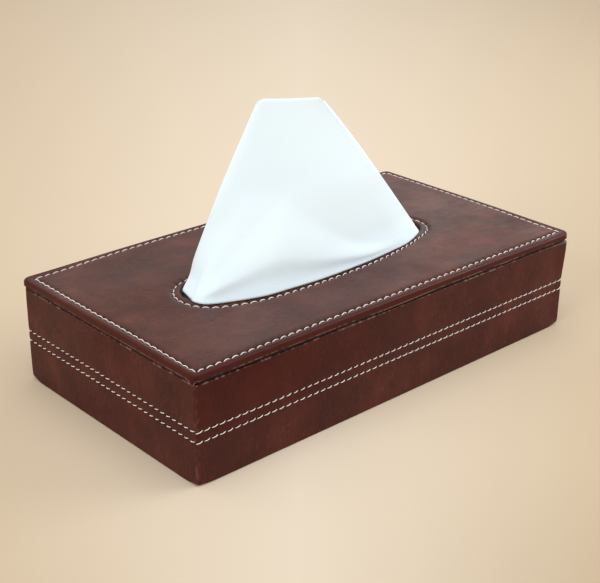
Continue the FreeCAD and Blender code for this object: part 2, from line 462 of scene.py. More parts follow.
def nonwoven(tree):
    """Spun-bonded sheet with rows of welded dots: black, matt and slightly fibrous."""
    turned = result(tree, "ShaderNodeMapping", {"Rotation": (0, 0, math.radians(45)), "Vector": here(tree)})
    values = {"Scale": per_metre(1.6), "Randomness": 0, "distance": "CHEBYCHEV", "Vector": turned}
    weld = spread(tree, result(tree, "ShaderNodeTexVoronoi", values, "Distance"), 0.18, 0.32)
    fibres = grain_noise(tree, 1.2, 3, 0.7)
    tone = mixed(tree, weld, linear("#0C0C0D"), ramp(tree, fibres, (0.3, "#1A1A1B"), (0.7, "#2B2B2D")))
    return {"Base Color": tone, "Roughness": 0.8}, (weld, 0.12, 0.7), (fibres, 0.06, 0.4)


def foam(tree):
    """Open-cell polyurethane foam, cut from a block: cream with small open cells."""
    values = {"Scale": per_metre(0.8), "Vector": here(tree)}
    cells = result(tree, "ShaderNodeTexVoronoi", values, "Distance")
    tone = ramp(tree, cells, (0.1, "#B9A87A"), (0.5, "#E6DCB8"))
    return {"Base Color": tone, "Roughness": 0.9}, (cells, 0.2, 0.6)


def plated_metal(tree, code, roughness):
    """Small metal fitting, plated or cold rolled: grey metal with fine rolling lines."""
    lines = grain_noise(tree, 0.5, 2, 0.6, stretch=(20, 1, 1))
    tone = ramp(tree, lines, (0.3, code), (0.7, [min(c * 1.15, 1) for c in linear(code)[:3]]))
    return {"Base Color": tone, "Metallic": 1, "Roughness": roughness}, (lines, 0.02, 0.3)


lid_finish = new_material(
    "buffed_leatherette_lid", leatherette, ("#401A12", "#502418", "#623224"), (1.7, 1, 1), 0.42, 0.29, 0.7
)
case_finish = new_material(
    "buffed_leatherette_walls", leatherette, ("#3B140E", "#451912", "#52231B"), (0.6, 0.6, 1.9), 0.5, 0.19, 1
)
hinge_finish = new_material(
    "skived_hinge_leather", leatherette, ("#3A1F18", "#472820", "#573429"), (1, 1, 1), 0.6, 0.3, 0.5
)
thread_finish = new_material("waxed_polyester_thread", thread)
tissue_finish = new_material("creped_tissue", tissue)
board_finish = new_material("sawn_fibreboard", fibreboard)
flock_finish = new_material("flocked_lining", flock)
nonwoven_finish = new_material("spunbond_sheet", nonwoven)
foam_finish = new_material("open_cell_foam", foam)
magnet_finish = new_material("nickel_plated_magnet", plated_metal, "#C2C2C6", 0.22)
keeper_finish = new_material("cold_rolled_steel", plated_metal, "#9B9BA0", 0.38)


# ------------------------ camera, floor and light

CAMERA_PLACE = (-0.3914, -0.4208, 0.2851)
CAMERA_TURN = -42.47
CAMERA_LIFT = 23.7
CAMERA_ROLL = 0.57
FLOOR_REACH = 6
# The floor's tone from left to right of the view, and its shares from near to far: painted light, palest
# along the view and darker to the sides and nearest the camera.
FLOOR_FAN = (
    (0, "#C9B295"), (0.125, "#D1BDA2"), (0.325, "#E0CEB6"), (0.5, "#EAD9C3"),
    (0.675, "#E5D3BB"), (0.875, "#DBC7AC"), (1, "#D5BFA2"),
)
FLOOR_DEPTH = (
    (0.05, 0.845), (0.095, 0.905), (0.13, 0.95), (0.24, 0.96), (0.36, 0.943), (0.55, 0.95), (0.78, 0.965),
)
LIGHT_AIM = Vector((0, 0, 0.04))
LIGHT_COLOUR = (0.95, 0.98, 1)
# Place in metres, width, depth and power of each softbox.
SOFTBOXES = {
    "right_softbox": ((2, 1.25, 0.9), 1.2, 0.7, 2),
    "top_softbox": ((-0.2, -0.3, 1.8), 1.6, 1.6, 12),
    "front_softbox": ((0.85, -0.5, 0.4), 0.7, 0.5, 5.6),
    "left_softbox": ((-1.8, -0.2, 0.8), 1, 0.9, 12.5),
}


def place_camera():
    lens = bpy.data.cameras.new("camera")
    lens.sensor_width = 36
    lens.lens = 73.45
    camera = link("camera", lens)
    turns = ((CAMERA_TURN, "Z"), (90 - CAMERA_LIFT, "X"), (CAMERA_ROLL, "Z"))
    camera.matrix_world = Matrix.Translation(CAMERA_PLACE)
    for angle, axis in turns:
        camera.matrix_world @= Matrix.Rotation(math.radians(angle), 4, axis)
    bpy.context.scene.camera = camera


def seamless_paper(tree):
    """Matt seamless paper with a faint tooth: warm beige, with painted light palest along the view and
    deeper to both sides.
    """
    stand = {"Location": (*CAMERA_PLACE[:2], 0), "Rotation": (0, 0, math.radians(90 + CAMERA_TURN))}
    turned = result(tree, "ShaderNodeMapping", {"vector_type": "TEXTURE", **stand, "Vector": here(tree)})
    fan = result(tree, "ShaderNodeTexGradient", {"gradient_type": "RADIAL", 0: turned}, "Fac")
    reach = result(tree, "ShaderNodeVectorMath", {"operation": "LENGTH", 0: turned}, "Value")
    tone = ramp(tree, spread(tree, fan, 0.45, 0.55), *FLOOR_FAN)
    tone = multiplied(tree, tone, ramp(tree, spread(tree, reach, 0.3, 1.7), *FLOOR_DEPTH))
    tooth = grain_noise(tree, 1.2, 2, 0.6)
    return {"Base Color": tone, "Roughness": 0.95, "Specular IOR Level": 0.1}, (tooth, 0.03, 0.3)


def lay_floor():
    corners = np.array([(-1, -1, 0), (1, -1, 0), (1, 1, 0), (-1, 1, 0)]) * FLOOR_REACH / MM
    paper = new_material("seamless_paper", seamless_paper)
    finish_mesh("floor", corners, [(0, 1, 2, 3)], paper)


def hang_softbox(name, place, width, depth, power):
    """Rectangular soft light at a place, turned to face the box."""
    light = bpy.data.lights.new(name, "AREA")
    light.shape = "RECTANGLE"
    light.size = width
    light.size_y = depth
    light.energy = power
    light.color = LIGHT_COLOUR
    box = link(name, light)
    box.location = place
    box.rotation_euler = (LIGHT_AIM - Vector(place)).to_track_quat("-Z", "Y").to_euler()


def light_scene():
    world = bpy.data.worlds.new("studio")
    world.use_nodes = True
    tree = world.node_tree
    tree.nodes.clear()
    sky = result(tree, "ShaderNodeBackground", {"Color": (0.99, 0.975, 0.945, 1), "Strength": 0.7})
    add_node(tree, "ShaderNodeOutputWorld", {"Surface": sky})
    bpy.context.scene.world = world
    for name, settings in SOFTBOXES.items():
        hang_softbox(name, *settings)


place_camera()
lay_floor()
light_scene()
bpy.context.scene.view_settings.view_transform = "Standard"


# ------------------------ leather round the case

case_plan = rectangle_plan(CASE_HALF, CASE_CORNER, 0.6, 10)
case_line = on_rectangle(case_plan, CASE_HALF, CASE_CORNER)
case_holes = hole_nearness(case_line, ROW_STITCHES)
case_turn = case_plan[:, 2] % 90
case_rounding = corner_bells(case_plan, CASE_HALF, FOOT_CORNERS, 4)
WALL_RINGS = (
    1.2, 2.2, 4, 6.5, 9, 11.5, 14, 16.2, 18, 19.2, 28.8, 30.2, 32, 34, 36.5, 39, 41.5, 44, 46,
    47.2, 47.9,
)
RINGS_AT_ROW = (-1.8, -1.3, -0.9, -0.6, -0.3, 0, 0.3, 0.6, 0.9, 1.3, 1.8)


def row(line, height, pit_and_shade=0, pale=0):
    """A ring of leather: its points, and how much painted shade and how much pale edge each has."""
    none = np.zeros(len(line))
    return level(line, height), none + pit_and_shade, none + pale


def leather_piece(name, rows, finish, painted_shade_of):
    """Leather from its rings, with painted shade, pale edges and the deeper red of shaded sides stored on
    its points.
    """
    points, shade_shares, pale = (np.concatenate(parts) for parts in zip(*rows))
    piece = finish_mesh(name, points, grid_faces(len(rows), len(rows[0][0])), finish)
    add_attribute(piece, "pit_and_shade", np.clip(shade_shares, 0, 1))
    add_attribute(piece, "cut", pale)
    add_attribute(piece, "side", painted_shade_of(points))
    return piece


def rubbed(line, seed):
    """How much colour is rubbed off an edge along an outline, in dots and short runs."""
    return np.clip(0.1 + 1.9 * (waves(line, 1.5, seed) + 0.8 * waves(line, 9, seed)), 0, 1)


def case_profile():
    """Inset and height of each ring of the wrap, from the hem's edge, up the wall and back inside."""
    rows = [(inset, 0) for inset in (HEM, HEM - 0.6, 8, 4, 1.6)]
    rows += [(FOOT_ROUNDING * a, FOOT_ROUNDING * b) for a, b in quarter_turn(15)]
    heights = [*WALL_RINGS, *(centre + off for centre in ROW_HEIGHTS for off in RINGS_AT_ROW)]
    rows += [(0, height) for height in sorted(set(round(height, 3) for height in heights))]
    rows += [(RIM_ROUNDING * b, RIM_HEIGHT - RIM_ROUNDING * a) for a, b in quarter_turn(15)]
    rows += [(inset, RIM_HEIGHT) for inset in (1.2, 3, 5, FLANGE - 0.3)]
    rows += [(FLANGE, RIM_HEIGHT - 0.3), (FLANGE, BOARD_TOP)]
    return rows + [(LEATHER, height) for height in (BOARD_TOP, 30, 12, LEATHER)] + [(HEM, LEATHER)]


def wall_relief(flat, height):
    """How far the leather stands out of the wall, in slow waves, seam and stitch pull, and the shade painted
    dark at its needle holes.
    """
    edge = smooth((height - 1) / 8) * smooth((RIM_HEIGHT - 0.6 - height) / 8)
    push = edge * (0.22 * waves(flat, 34, 1, height / 60) + 0.05 * waves(flat, 5, 2, height / 40))
    pit_and_shade = 0
    for centre in ROW_HEIGHTS:
        off = height - centre
        push -= 0.22 * hump(off, 0.95) + 0.34 * hump(off, 0.55) * case_holes
        # The needle holes are painted dark as shade.
        pit_and_shade += 0.4 * hump(off, 0.5) * case_holes
    push -= 0.35 * (case_plan[:, 2] == 90) * hump(flat[:, 0], 0.35)
    from_right_front = np.linalg.norm(flat - CASE_HALF * (1, -1), axis=1)
    return push + 0.9 * hump(from_right_front, 9) * smooth((height - 26) / 20), pit_and_shade


def case_row(inset, height):
    """A ring of the wrap with its relief, rounded foot and mitred rim, painted shade at needle holes and on
    the rim's top, and pale dots of rubbed wear with a painted highlight on the rim's edge and the corners.
    """
    flat = on_rectangle(case_plan, CASE_HALF - inset, max(CASE_CORNER - inset, 0.35))
    out = facing(case_plan)
    # A pale line along the rim's rounded edge, in rubbed dots, partly a painted highlight where the rounding
    # catches light.
    rub_and_highlight = hump(height - RIM_HEIGHT + 0.25, 0.3) * (inset < RIM_ROUNDING + 0.01) * rubbed(flat, 8)
    push, pit_and_shade = np.zeros(len(flat)), 0
    if inset < 0.01 and 0.7 < height < RIM_HEIGHT:
        push, pit_and_shade = wall_relief(flat, height)
        worn = np.maximum(waves(flat, 2, 10, height / 1.6) + 0.1, 0)
        # The rounded corners get pale dots too: rubbed wear, partly a painted highlight.
        rub_and_highlight = rub_and_highlight + 0.4 * hump(case_turn - 45, 30) * (case_turn > 0) * worn
    # The rim's top, in the gap under the shut lid, is painted dark as shade.
    if 0.45 < inset < FLANGE and height > RIM_HEIGHT - 0.6:
        pit_and_shade = 0.88
    ring = row(flat + out * push[:, None], height, pit_and_shade, rub_and_highlight)
    points = ring[0]
    if height < FOOT_REACH and inset < HEM:
        near_foot = 1 - height / FOOT_REACH
        points[:, 2] += 1.1 * case_rounding * smooth(1 - inset / 2.4) * near_foot
        points[:, :2] -= out * (0.38 * case_rounding * near_foot**2)[:, None]
    if inset > 0.5 and height > RIM_HEIGHT - 0.35:
        mitre = np.abs(np.abs(case_plan[:, 0]) + np.abs(case_plan[:, 1]) - 2) < 0.001
        points[:, 2] -= 0.22 * mitre * hump(case_turn - 45, 16)
    return ring


def case_painted_shade(points):
    """How much painted shade, a deeper red, a point of the walls has: high on the front, most at the left,
    where less light reaches.
    """
    deep = 0.55 * smooth((30 - points[:, 0]) / 140) * smooth((points[:, 2] - 8) / 26)
    return deep * (points[:, 1] < -CASE_HALF[1] + 0.6)


def wrap_case():
    """Leather round the walls: hemmed under the case, up over the rim and down to the lining."""
    rows = [case_row(inset, height) for inset, height in case_profile()]
    piece = leather_piece("case_leather", rows, case_finish, case_painted_shade)
    dress(piece, "case", "body_leather_wrap")


wrap_case()


# ------------------------ leather over the lid

lid_plan = rectangle_plan(LID_HALF - BORDER_INSET, BORDER_CORNER, 0.7, 8)
lid_corners = at_corners(lid_plan, LID_CORNERS)
# The hand-sewn border runs nearer the edge at the near corner, and the far corners sag.
border_drift = corner_bells(lid_plan, LID_HALF, {(-1, -1): -1.1, (-1, 1): 1.3, (1, -1): 0.9}, 34)
lid_sag = corner_bells(lid_plan, LID_HALF, {(-1, 1): 0.75, (1, -1): 0.7}, 42)
# The top is painted a little darker near this place, as shade where it catches less sheen.
SHADED_PLACE = (-98, -52)
SHADED_WIDTH = 34
SHADED_SHARE = 0.15
# How far the seam round the mouth wanders outwards: its mean, and cosine and sine parts of 1 to 5 waves.
SEAM_MEAN = 0.66
SEAM_WAVES = ((-1.06, -1.39), (-0.72, 0.93), (0.04, -0.70), (-0.79, 0.42), (0.01, -0.43))
# Inset and share of the height of each ring of the skirt, and how much of the pale edge (cut edge with
# rubbed dots and a painted highlight) it shows.
SKIRT_RINGS = (
    (LEATHER, 0, 0.6), (0.45, -0.02, 0.9), (0.05, 0, 1), (-0.08, 0.08, 0.9), (-0.05, 0.17, 0.35),
    (0, 0.3, 0), (0, 0.5, 0), (0, 0.75, 0),
)
BORDER_RINGS = (
    1.2, 1.6, 2, 2.3, 2.6, 2.9, 3.15, 3.4, 3.6, 3.8, 4, 4.25, 4.6, 5, 5.5, 6.2, 7.2, 8.6, 10.5,
)
MOUTH_RINGS = (9, 7.4, 6.4, 5.6, 5, 4.5, 4.1, 3.8, 3.55, 3.3, 3.05, 2.8, 2.4, 1.9, 1.5)


def lid_ring(inset):
    """Outline of the lid at an inset from its edge."""
    corner = lid_corners - (lid_corners - BORDER_CORNER) * min(inset / BORDER_INSET, 1)
    to_border = smooth((inset - 1.2) / (BORDER_INSET - 1.2)) * smooth((12 - inset) / 8)
    inset = inset + border_drift * to_border
    return on_rectangle(lid_plan, LID_HALF - inset[:, None], corner)


border_line = lid_ring(BORDER_INSET)
border_holes = hole_nearness(border_line, BORDER_STITCHES)
border_along, border_length = way_along(border_line)
mouth_shares = (border_along / border_length - MOUTH_START) % 1


def mouth_outline():
    """Points round the mouth's even oval at shares of its length, and the way each faces."""
    meet = math.degrees(math.atan2(MOUTH_SIDE_Y, MOUTH_END_X))
    turns = (0, meet, 180 - meet, 180 + meet, 360 - meet, 360)
    centres = ((MOUTH_END_X, 0), (0, -MOUTH_SIDE_Y), (-MOUTH_END_X, 0), (0, MOUTH_SIDE_Y), (MOUTH_END_X, 0))
    points, ways = [], []
    for place, (centre, start, end) in enumerate(zip(centres, turns, turns[1:])):
        radius = (MOUTH_END_RADIUS, MOUTH_SIDE_RADIUS)[place % 2]
        count = max(int(radius * math.radians(end - start) / 0.1), 8)
        angles = np.radians(np.linspace(start, end, count, endpoint=False))
        ways.append(np.stack([np.cos(angles), np.sin(angles)], 1))
        points.append(MOUTH_MIDDLE + centre + radius * ways[-1])
    points, ways = np.vstack(points), np.vstack(ways)
    along, length = way_along(points)
    along, place = np.append(along, length), mouth_shares * length
    x, y, u, v = (np.interp(place, along, np.append(part, part[0])) for part in (*points.T, *ways.T))
    return np.stack([x, y], 1), np.stack([u, v], 1) / np.hypot(u, v)[:, None]


mouth_edge, mouth_ways = mouth_outline()


def mouth_at(grow):
    """The mouth's even oval, grown outwards by a distance."""
    return mouth_edge + np.reshape(grow, (-1, 1)) * mouth_ways


def seam_wander():
    """Distance from the mouth seam's even line to where it is sewn: widest at the left front."""
    way = 2 * math.pi * mouth_shares
    parts = [a * np.cos((k + 1) * way) + b * np.sin((k + 1) * way) for k, (a, b) in enumerate(SEAM_WAVES)]
    return SEAM_MEAN + sum(parts)


def lip_slack():
    """How far the leather lip hangs into the mouth, at its ends and along the back's left part."""
    x, y = mouth_edge.T
    left = 1.3 * smooth((-58 - x) / 20) * smooth((y + 13) / 9)
    return left + 1.9 * smooth((x - 50) / 22)


mouth_wander = seam_wander()
mouth_slack = lip_slack()


def mouth_ring(grow):
    """Outline round the mouth, grown outwards: the slack lip inside, the wandering seam outside."""
    to_seam = smooth((grow - MOUTH_LIP) / (MOUTH_INSET - MOUTH_LIP))
    return mouth_at(grow - mouth_slack * (1 - to_seam) + mouth_wander * to_seam)


mouth_line = mouth_ring(MOUTH_INSET)
mouth_holes = hole_nearness(mouth_line, MOUTH_STITCHES)


def top_wave(line):
    """Slow unevenness of the padded top."""
    return 0.16 * waves(line, 40, 3) + 0.05 * waves(line, 9, 4)


def near_corner(sharp, soft):
    """Bell curve along the lid's edge at its near corner, sharp on the front side and soft on the left."""
    corner = LID_HALF * -1 + (0, 1.2)
    line = lid_ring(0)
    away = np.linalg.norm(line - corner, axis=1)
    return hump(away, np.where(line[:, 1] > corner[1], soft, sharp))


def cut_edge():
    """Height of the cover's hand-trimmed cut edge, which hangs in a pinched nose at the near corner."""
    line = lid_ring(0)
    loose = 0.5 * hump(line[:, 0] + 10, 18) * (line[:, 1] < 0)
    droop = 0.25 * smooth(line[:, 0] / 120)
    return LID_CUT_EDGE + 0.22 * waves(line, 22, 7) - loose - droop - 2 * near_corner(0.7, 2.6)


def left_share(line):
    """How near a point of an outline is to the lid's left side, most at its front end."""
    return smooth((6 - LID_HALF[0] - line[:, 0]) / 4) * smooth((70 - line[:, 1]) / 120)


def edge_rows():
    """Rings from the cover's cut edge up its skirt and over the roll."""
    low, top = cut_edge(), LID_TOP - LID_ROLL
    edge = lid_ring(0)
    most_rubbed = 0.8 * hump(edge[:, 0] + 2, 17) * (edge[:, 1] < 0)
    # The pale edge is the cut edge with rubbed dots, palest at the front, and a painted highlight along the
    # left side.
    pale = np.clip(rubbed(edge, 9) + most_rubbed + 0.4 * left_share(edge), 0, 1)
    nose, crease = near_corner(0.8, 2.2), hump(near_corner(2.4, 0.9) - 0.62, 0.2)
    rows = []
    for inset, share, shown in SKIRT_RINGS:
        line = lid_ring(inset)
        push = (0.5 * nose - 0.55 * crease) * (1 - share)
        line = line + (line - lid_ring(inset + 1)) * push[:, None]
        # The pinched crease at the near corner is painted dark as shade.
        rows.append(row(line, low + share * (top - low), 0.8 * crease * (1 - share), pale * shown))
    return rows + [row(lid_ring(LID_ROLL * b), LID_TOP - LID_ROLL * a) for a, b in quarter_turn(15)]


def seam_row(line, inset, seam, holes, dark, pale=0):
    """A ring of the top beside a seam: the seam's channel and holes, then puckered padding that waves."""
    off = inset - seam
    channel = 0.25 * hump(off, 0.8)
    pit_and_shade = 0.45 * hump(off - 0.15, 0.5) * holes
    pucker = 0.16 * hump(off - 1.3, 1) * holes
    lift = PILLOW * smooth((off - 0.2) / 2.6) - channel - pit_and_shade - pucker
    return row(line, LID_TOP + lift + top_wave(line) * smooth((inset - 4) / 5), dark, pale)


def top_rows():
    """Rings over the padded top, from the roll over the border's seam to the mouth's seam and lip."""
    rows = []
    for inset in BORDER_RINGS:
        line = lid_ring(inset)
        # Painted shade beside the border's stitches, darkest at the needle holes.
        dark = hump(inset - BORDER_INSET - 0.75, 0.6) * (0.35 + 0.65 * border_holes)
        # A painted highlight on the strip outside the stitches at the lid's left front.
        buffed = 0.22 * left_share(line) * hump(inset - 1.7, 0.8)
        rows.append(seam_row(line, inset, BORDER_INSET, border_holes, dark, buffed))
    outer, inner = lid_ring(BORDER_RINGS[-1]), mouth_ring(MOUTH_RINGS[0])
    for share in np.linspace(0, 1, 11)[1:-1]:
        line = outer + (inner - outer) * share
        rows.append(row(line, LID_TOP + PILLOW + top_wave(line)))
    for grow in MOUTH_RINGS:
        # Painted shade beside the mouth's stitches, darkest at the needle holes.
        dark = hump(grow - MOUTH_INSET + 0.3, 0.8) * (0.25 + 0.75 * mouth_holes)
        rows.append(seam_row(mouth_ring(grow), grow, MOUTH_INSET, mouth_holes, dark))
    return rows


def lip_rows():
    """Rings over the mouth's lip, down into it, and back under the cover to the cut edge."""
    lip = [(MOUTH_LIP * a, LID_TOP - MOUTH_LIP * b) for a, b in quarter_turn(18)]
    inside = levels(mouth_ring, (*lip, (0, 52.4), (0, 51.6)))
    under = LEATHER + 4
    inside += levels(mouth_at, ((0, LID_BOTTOM), (LEATHER, LID_BOTTOM), (LEATHER, 51.5)))
    inside += levels(mouth_at, ((LEATHER, PADDING_TOP), (under, PADDING_TOP)))
    inside += levels(lid_ring, ((under, PADDING_TOP), (LEATHER, PADDING_TOP), (LEATHER, 52.3)))
    return [row(ring[:, :2], ring[:, 2]) for ring in inside]


def sag_share(points):
    """How much of the far corners' sag a ring has: none at the mouth and along the cut edge."""
    border, mouth = lid_ring(BORDER_RINGS[-1]), mouth_ring(MOUTH_RINGS[0])
    way = border - mouth
    sunk = smooth(np.sum((points[:, :2] - mouth) * way, 1) / np.sum(way**2, 1))
    return sunk * np.clip((points[:, 2] - LID_CUT_EDGE) / 2.3, 0, 1)


def lid_painted_shade(points):
    """How much painted shade, a deeper red with less gloss, a point of the lid's roll and sides has."""
    x, y, z = points.T
    # The roll's top is spared part of the painted shade, less on the front, where the shade dulls the roll's
    # highlight.
    buffed = np.where(y < -LID_HALF[1] + 4, 0.4, 0.75)
    low = 1 - buffed * smooth((z - LID_TOP + 1.1) / 1)
    outside = np.maximum(np.abs(x) - LID_HALF[0], np.abs(y) - LID_HALF[1])
    return 0.9 * low * smooth((outside + 3.4) / 1.2)


def cover_lid():
    """Leather over the lid: rolled down over its edges and turned down into the mouth."""
    rows = edge_rows() + top_rows() + lip_rows()
    for points, pit_and_shade, _ in rows:
        points[:, 2] -= lid_sag * sag_share(points)
        # Painted shade on the top near the near corner.
        near = hump(np.linalg.norm(points[:, :2] - SHADED_PLACE, axis=1), SHADED_WIDTH)
        pit_and_shade += SHADED_SHARE * near * (points[:, 2] > LID_TOP - 0.4)
    piece = leather_piece("lid_leather", rows, lid_finish, lid_painted_shade)
    dress(piece, "lid", "lid_cover")


cover_lid()


# ------------------------ Geometry Nodes: stitches


def new_tree(name, inputs):
    """Geometry node group with named inputs, from their defaults or kinds, and the inputs' sockets."""
    tree = bpy.data.node_groups.new(name, "GeometryNodeTree")
    tree.interface.new_socket("Geometry", in_out="OUTPUT", socket_type="NodeSocketGeometry")
    for label, default in inputs.items():
        kind = default if isinstance(default, str) else "Int" if isinstance(default, int) else "Float"
        socket = tree.interface.new_socket(label, in_out="INPUT", socket_type="NodeSocket" + kind)
        if kind != default:
            socket.default_value = default
    return tree, add_node(tree, "NodeGroupInput", {}).outputs


def end_tree(tree, geometry, material):
    """Ends a tree: instances made real, then the material set."""
    real = result(tree, "GeometryNodeRealizeInstances", {0: geometry})
    smoothed = result(tree, "GeometryNodeSetShadeSmooth", {"Geometry": real, "Shade Smooth": True})
    finished = result(tree, "GeometryNodeSetMaterial", {"Geometry": smoothed, "Material": material})
    add_node(tree, "NodeGroupOutput", {0: finished})
    return tree


def run_tree(name, tree, values):
    """Runs a tree with values for its named inputs, and gives the result as a plain mesh object."""
    holder = link(name + "_maker", bpy.data.meshes.new(name + "_maker"))
    modifier = holder.modifiers.new("maker", "NODES")
    modifier.node_group = tree
    for item in tree.interface.items_tree:
        if item.item_type == "SOCKET" and item.in_out == "INPUT" and item.name in values:
            modifier[item.identifier] = values[item.name]
    graph = bpy.context.evaluated_depsgraph_get()
    graph.update()
    mesh = bpy.data.meshes.new_from_object(holder.evaluated_get(graph))
    mesh.name = name
    holder.modifiers.remove(modifier)
    bpy.data.objects.remove(holder)
    return link(name, mesh)


def vector(tree, x=0, y=0, z=0):
    """A vector from numbers or sockets."""
    return result(tree, "ShaderNodeCombineXYZ", {0: x, 1: y, 2: z})


def random_number(tree, low, high, seed):
    """A random number for each point or instance."""
    return result(tree, "FunctionNodeRandomValue", {"data_type": "FLOAT", 2: low, 3: high, "Seed": seed}, 1)


def stored(tree, geometry, name, value):
    """A geometry with a number stored on its points."""
    values = {"Geometry": geometry, "Name": name, "Value": value}
    return result(tree, "GeometryNodeStoreNamedAttribute", values)


def stitch_shape(tree, given):
    """One stitch: a thread along X that arches over the leather, thinner where it goes into its holes."""
    half = times(tree, given["Stitch Length"], 0.5)
    dip = times(tree, given["Dip"], -1)
    ends = {
        "Resolution": 7,
        "Start": vector(tree, times(tree, half, -1), 0, dip),
        "Middle": vector(tree, 0, given["Arch"], given["Lift"]),
        "End": vector(tree, half, 0, dip),
    }
    factor = result(tree, "GeometryNodeSplineParameter", {}, "Factor")
    off = calculate(tree, "SUBTRACT", times(tree, factor, 2), 1)
    taper = calculate(tree, "POWER", calculate(tree, "ABSOLUTE", off), 3)
    waist = calculate(tree, "SUBTRACT", 1, times(tree, taper, 0.4))
    along = times(tree, times(tree, factor, given["Stitch Length"]), 1 / MM)
    line = stored(tree, result(tree, "GeometryNodeCurveQuadraticBezier", ends), "along", along)
    circle = {"Resolution": 6, "Radius": given["Thread Radius"]}
    section = stored(tree, result(tree, "GeometryNodeCurvePrimitiveCircle", circle), "around", factor)
    values = {
        "Curve": result(tree, "GeometryNodeSetCurveRadius", {"Curve": line, "Radius": waist}),
        "Profile Curve": section,
        "Fill Caps": True,
        "Scale": result(tree, "GeometryNodeInputRadius", {}),
    }
    return result(tree, "GeometryNodeCurveToMesh", values)


def stitch_tree():
    """Geometry Nodes: a stitch at each of a number of even places along a path, a little uneven as sewn."""
    inputs = {
        "Path": "Object", "Stitches": 100, "Stitch Length": 0.0036, "Arch": 0.0, "Lift": 0.0005,
        "Dip": 0.0004, "Thread Radius": 0.0004, "Slant": 0.0, "Unevenness": 0.05, "On Wall": 0.0,
        "Seed": 1, "Finish": "Material",
    }
    tree, given = new_tree("stitch_row", inputs)
    path = result(tree, "GeometryNodeObjectInfo", {"Object": given["Path"]}, "Geometry")
    places = {"mode": "COUNT", "Curve": path, "Count": given["Stitches"]}
    points = add_node(tree, "GeometryNodeCurveToPoints", places).outputs
    across = {"operation": "CROSS_PRODUCT", 0: points["Tangent"], 1: (0, 0, 1)}
    sideways = result(tree, "ShaderNodeVectorMath", across)
    blend = {"data_type": "VECTOR", 0: given["On Wall"], 4: (0, 0, 1), 5: sideways}
    upward = result(tree, "ShaderNodeMix", blend, 1)
    axes = {"primary_axis": "X", "secondary_axis": "Z"}
    axes.update({"Primary Axis": points["Tangent"], "Secondary Axis": upward})
    wobble = times(tree, given["Unevenness"], -1)
    uneven = random_number(tree, wobble, given["Unevenness"], given["Seed"])
    spin = vector(tree, 0, 0, calculate(tree, "ADD", given["Slant"], uneven))
    turned = {
        "rotation_space": "LOCAL",
        "Rotation": result(tree, "FunctionNodeAxesToRotation", axes),
        "Rotate By": result(tree, "FunctionNodeEulerToRotation", {0: spin}),
    }
    placed = {
        "Points": points[0],
        "Instance": stitch_shape(tree, given),
        "Rotation": result(tree, "FunctionNodeRotateRotation", turned),
        "Scale": random_number(tree, 0.94, 1.05, calculate(tree, "ADD", given["Seed"], 7)),
    }
    return end_tree(tree, result(tree, "GeometryNodeInstanceOnPoints", placed), given["Finish"])


stitches = stitch_tree()


def path_curve(name, line, height):
    """Closed curve through the points of an outline at a height, for stitches to follow."""
    curve = bpy.data.curves.new(name, "CURVE")
    curve.dimensions = "3D"
    spline = curve.splines.new("POLY")
    spline.points.add(len(line) - 1)
    spline.points.foreach_set("co", np.column_stack([level(line, height) * MM, np.ones(len(line))]).ravel())
    spline.use_cyclic_u = True
    return link(name, curve)


def sew(name, node, body, line, height, **values):
    """A row of stitches along an outline; sizes are in millimetres and angles in degrees."""
    path = path_curve(name + "_path", line, height)
    settings = {"Path": path, "Finish": thread_finish}
    millimetres = ("Stitch Length", "Arch", "Lift", "Dip", "Thread Radius")
    for label, value in {"Lift": 0.6, "Dip": 0.5, "Unevenness": 3, **values}.items():
        label = label.replace("_", " ")
        unit = MM if label in millimetres else math.radians(1) if label in ("Slant", "Unevenness") else 1
        settings[label] = value * unit
    piece = run_tree(name, stitches, settings)
    bpy.data.objects.remove(path)
    dress(piece, body, node)


def sew_all():
    """All four rows: round the lid's border, round the mouth, and two round the walls."""
    top = {"Thread_Radius": 0.215, "On_Wall": 0.0}
    sew(
        "lid_border_stitches", "lid_border_thread", "lid", border_line, STITCH_BED - lid_sag,
        Stitches=BORDER_STITCHES, Stitch_Length=4.3, Arch=0.55, Slant=10, Seed=3, **top,
    )
    sew(
        "mouth_stitches", "mouth_thread", "lid", mouth_line, STITCH_BED,
        Stitches=MOUTH_STITCHES, Stitch_Length=3.8, Arch=0.75, Slant=8, Seed=5, **top,
    )
    wall = {"Stitches": ROW_STITCHES, "Stitch_Length": 3.3, "Thread_Radius": 0.19, "On_Wall": 1.0}
    for place, name in enumerate(("upper", "lower")):
        sew(
            name + "_row_stitches", "body_" + name + "_thread", "case", case_line, ROW_HEIGHTS[place],
            Arch=0.0, Slant=12.5, Seed=11 + place, **wall,
        )


sew_all()


# ------------------------ tissue in the mouth

TISSUE_MIDDLE = np.array([-17.7, -3.5])
TISSUE_TWIST = math.radians(-15)
TISSUE_CORNER = 4
# Plan of the sheet where it enters the mouth, where it touches the lip, and at its top: the left flap,
# the front and the right flap in turn. The last plan is along and across the sheet's own line.
FOOT_PATH = (
    (-48, 1), (-54, 1.5), (-60, 1), (-66, 0), (-70.5, -1.5),
    (-72, -4), (-72.5, -7), (-73, -10), (-73.2, -12.8), (-69.6, -15.6),
    (-55, -20.2), (-38.1, -23.1), (-21, -24.9), (-4, -25.5), (13, -24.9), (30.1, -23.1), (47, -20.1),
    (62.4, -16.3),
    (63.2, -13.6), (60, -11.4), (52, -10.6), (44, -12.2), (36, -11.4),
)
LIP_PATH = (
    (-50, 4), (-58, 6.2), (-67, 7), (-73.5, 5.8), (-76.8, 3.8),
    (-78.6, 2.2), (-80, -2.6), (-81.2, -7.2), (-82, -11.6), (-77, -18.4),
    (-55, -26.8), (-38.1, -28.6), (-21, -29.8), (-4, -29.6), (13, -28.7), (30.1, -26.8), (47, -24),
    (62.2, -17.3),
    (62.8, -13.6), (60, -11.4), (52, -10.6), (44, -12.2), (36, -11.4),
)
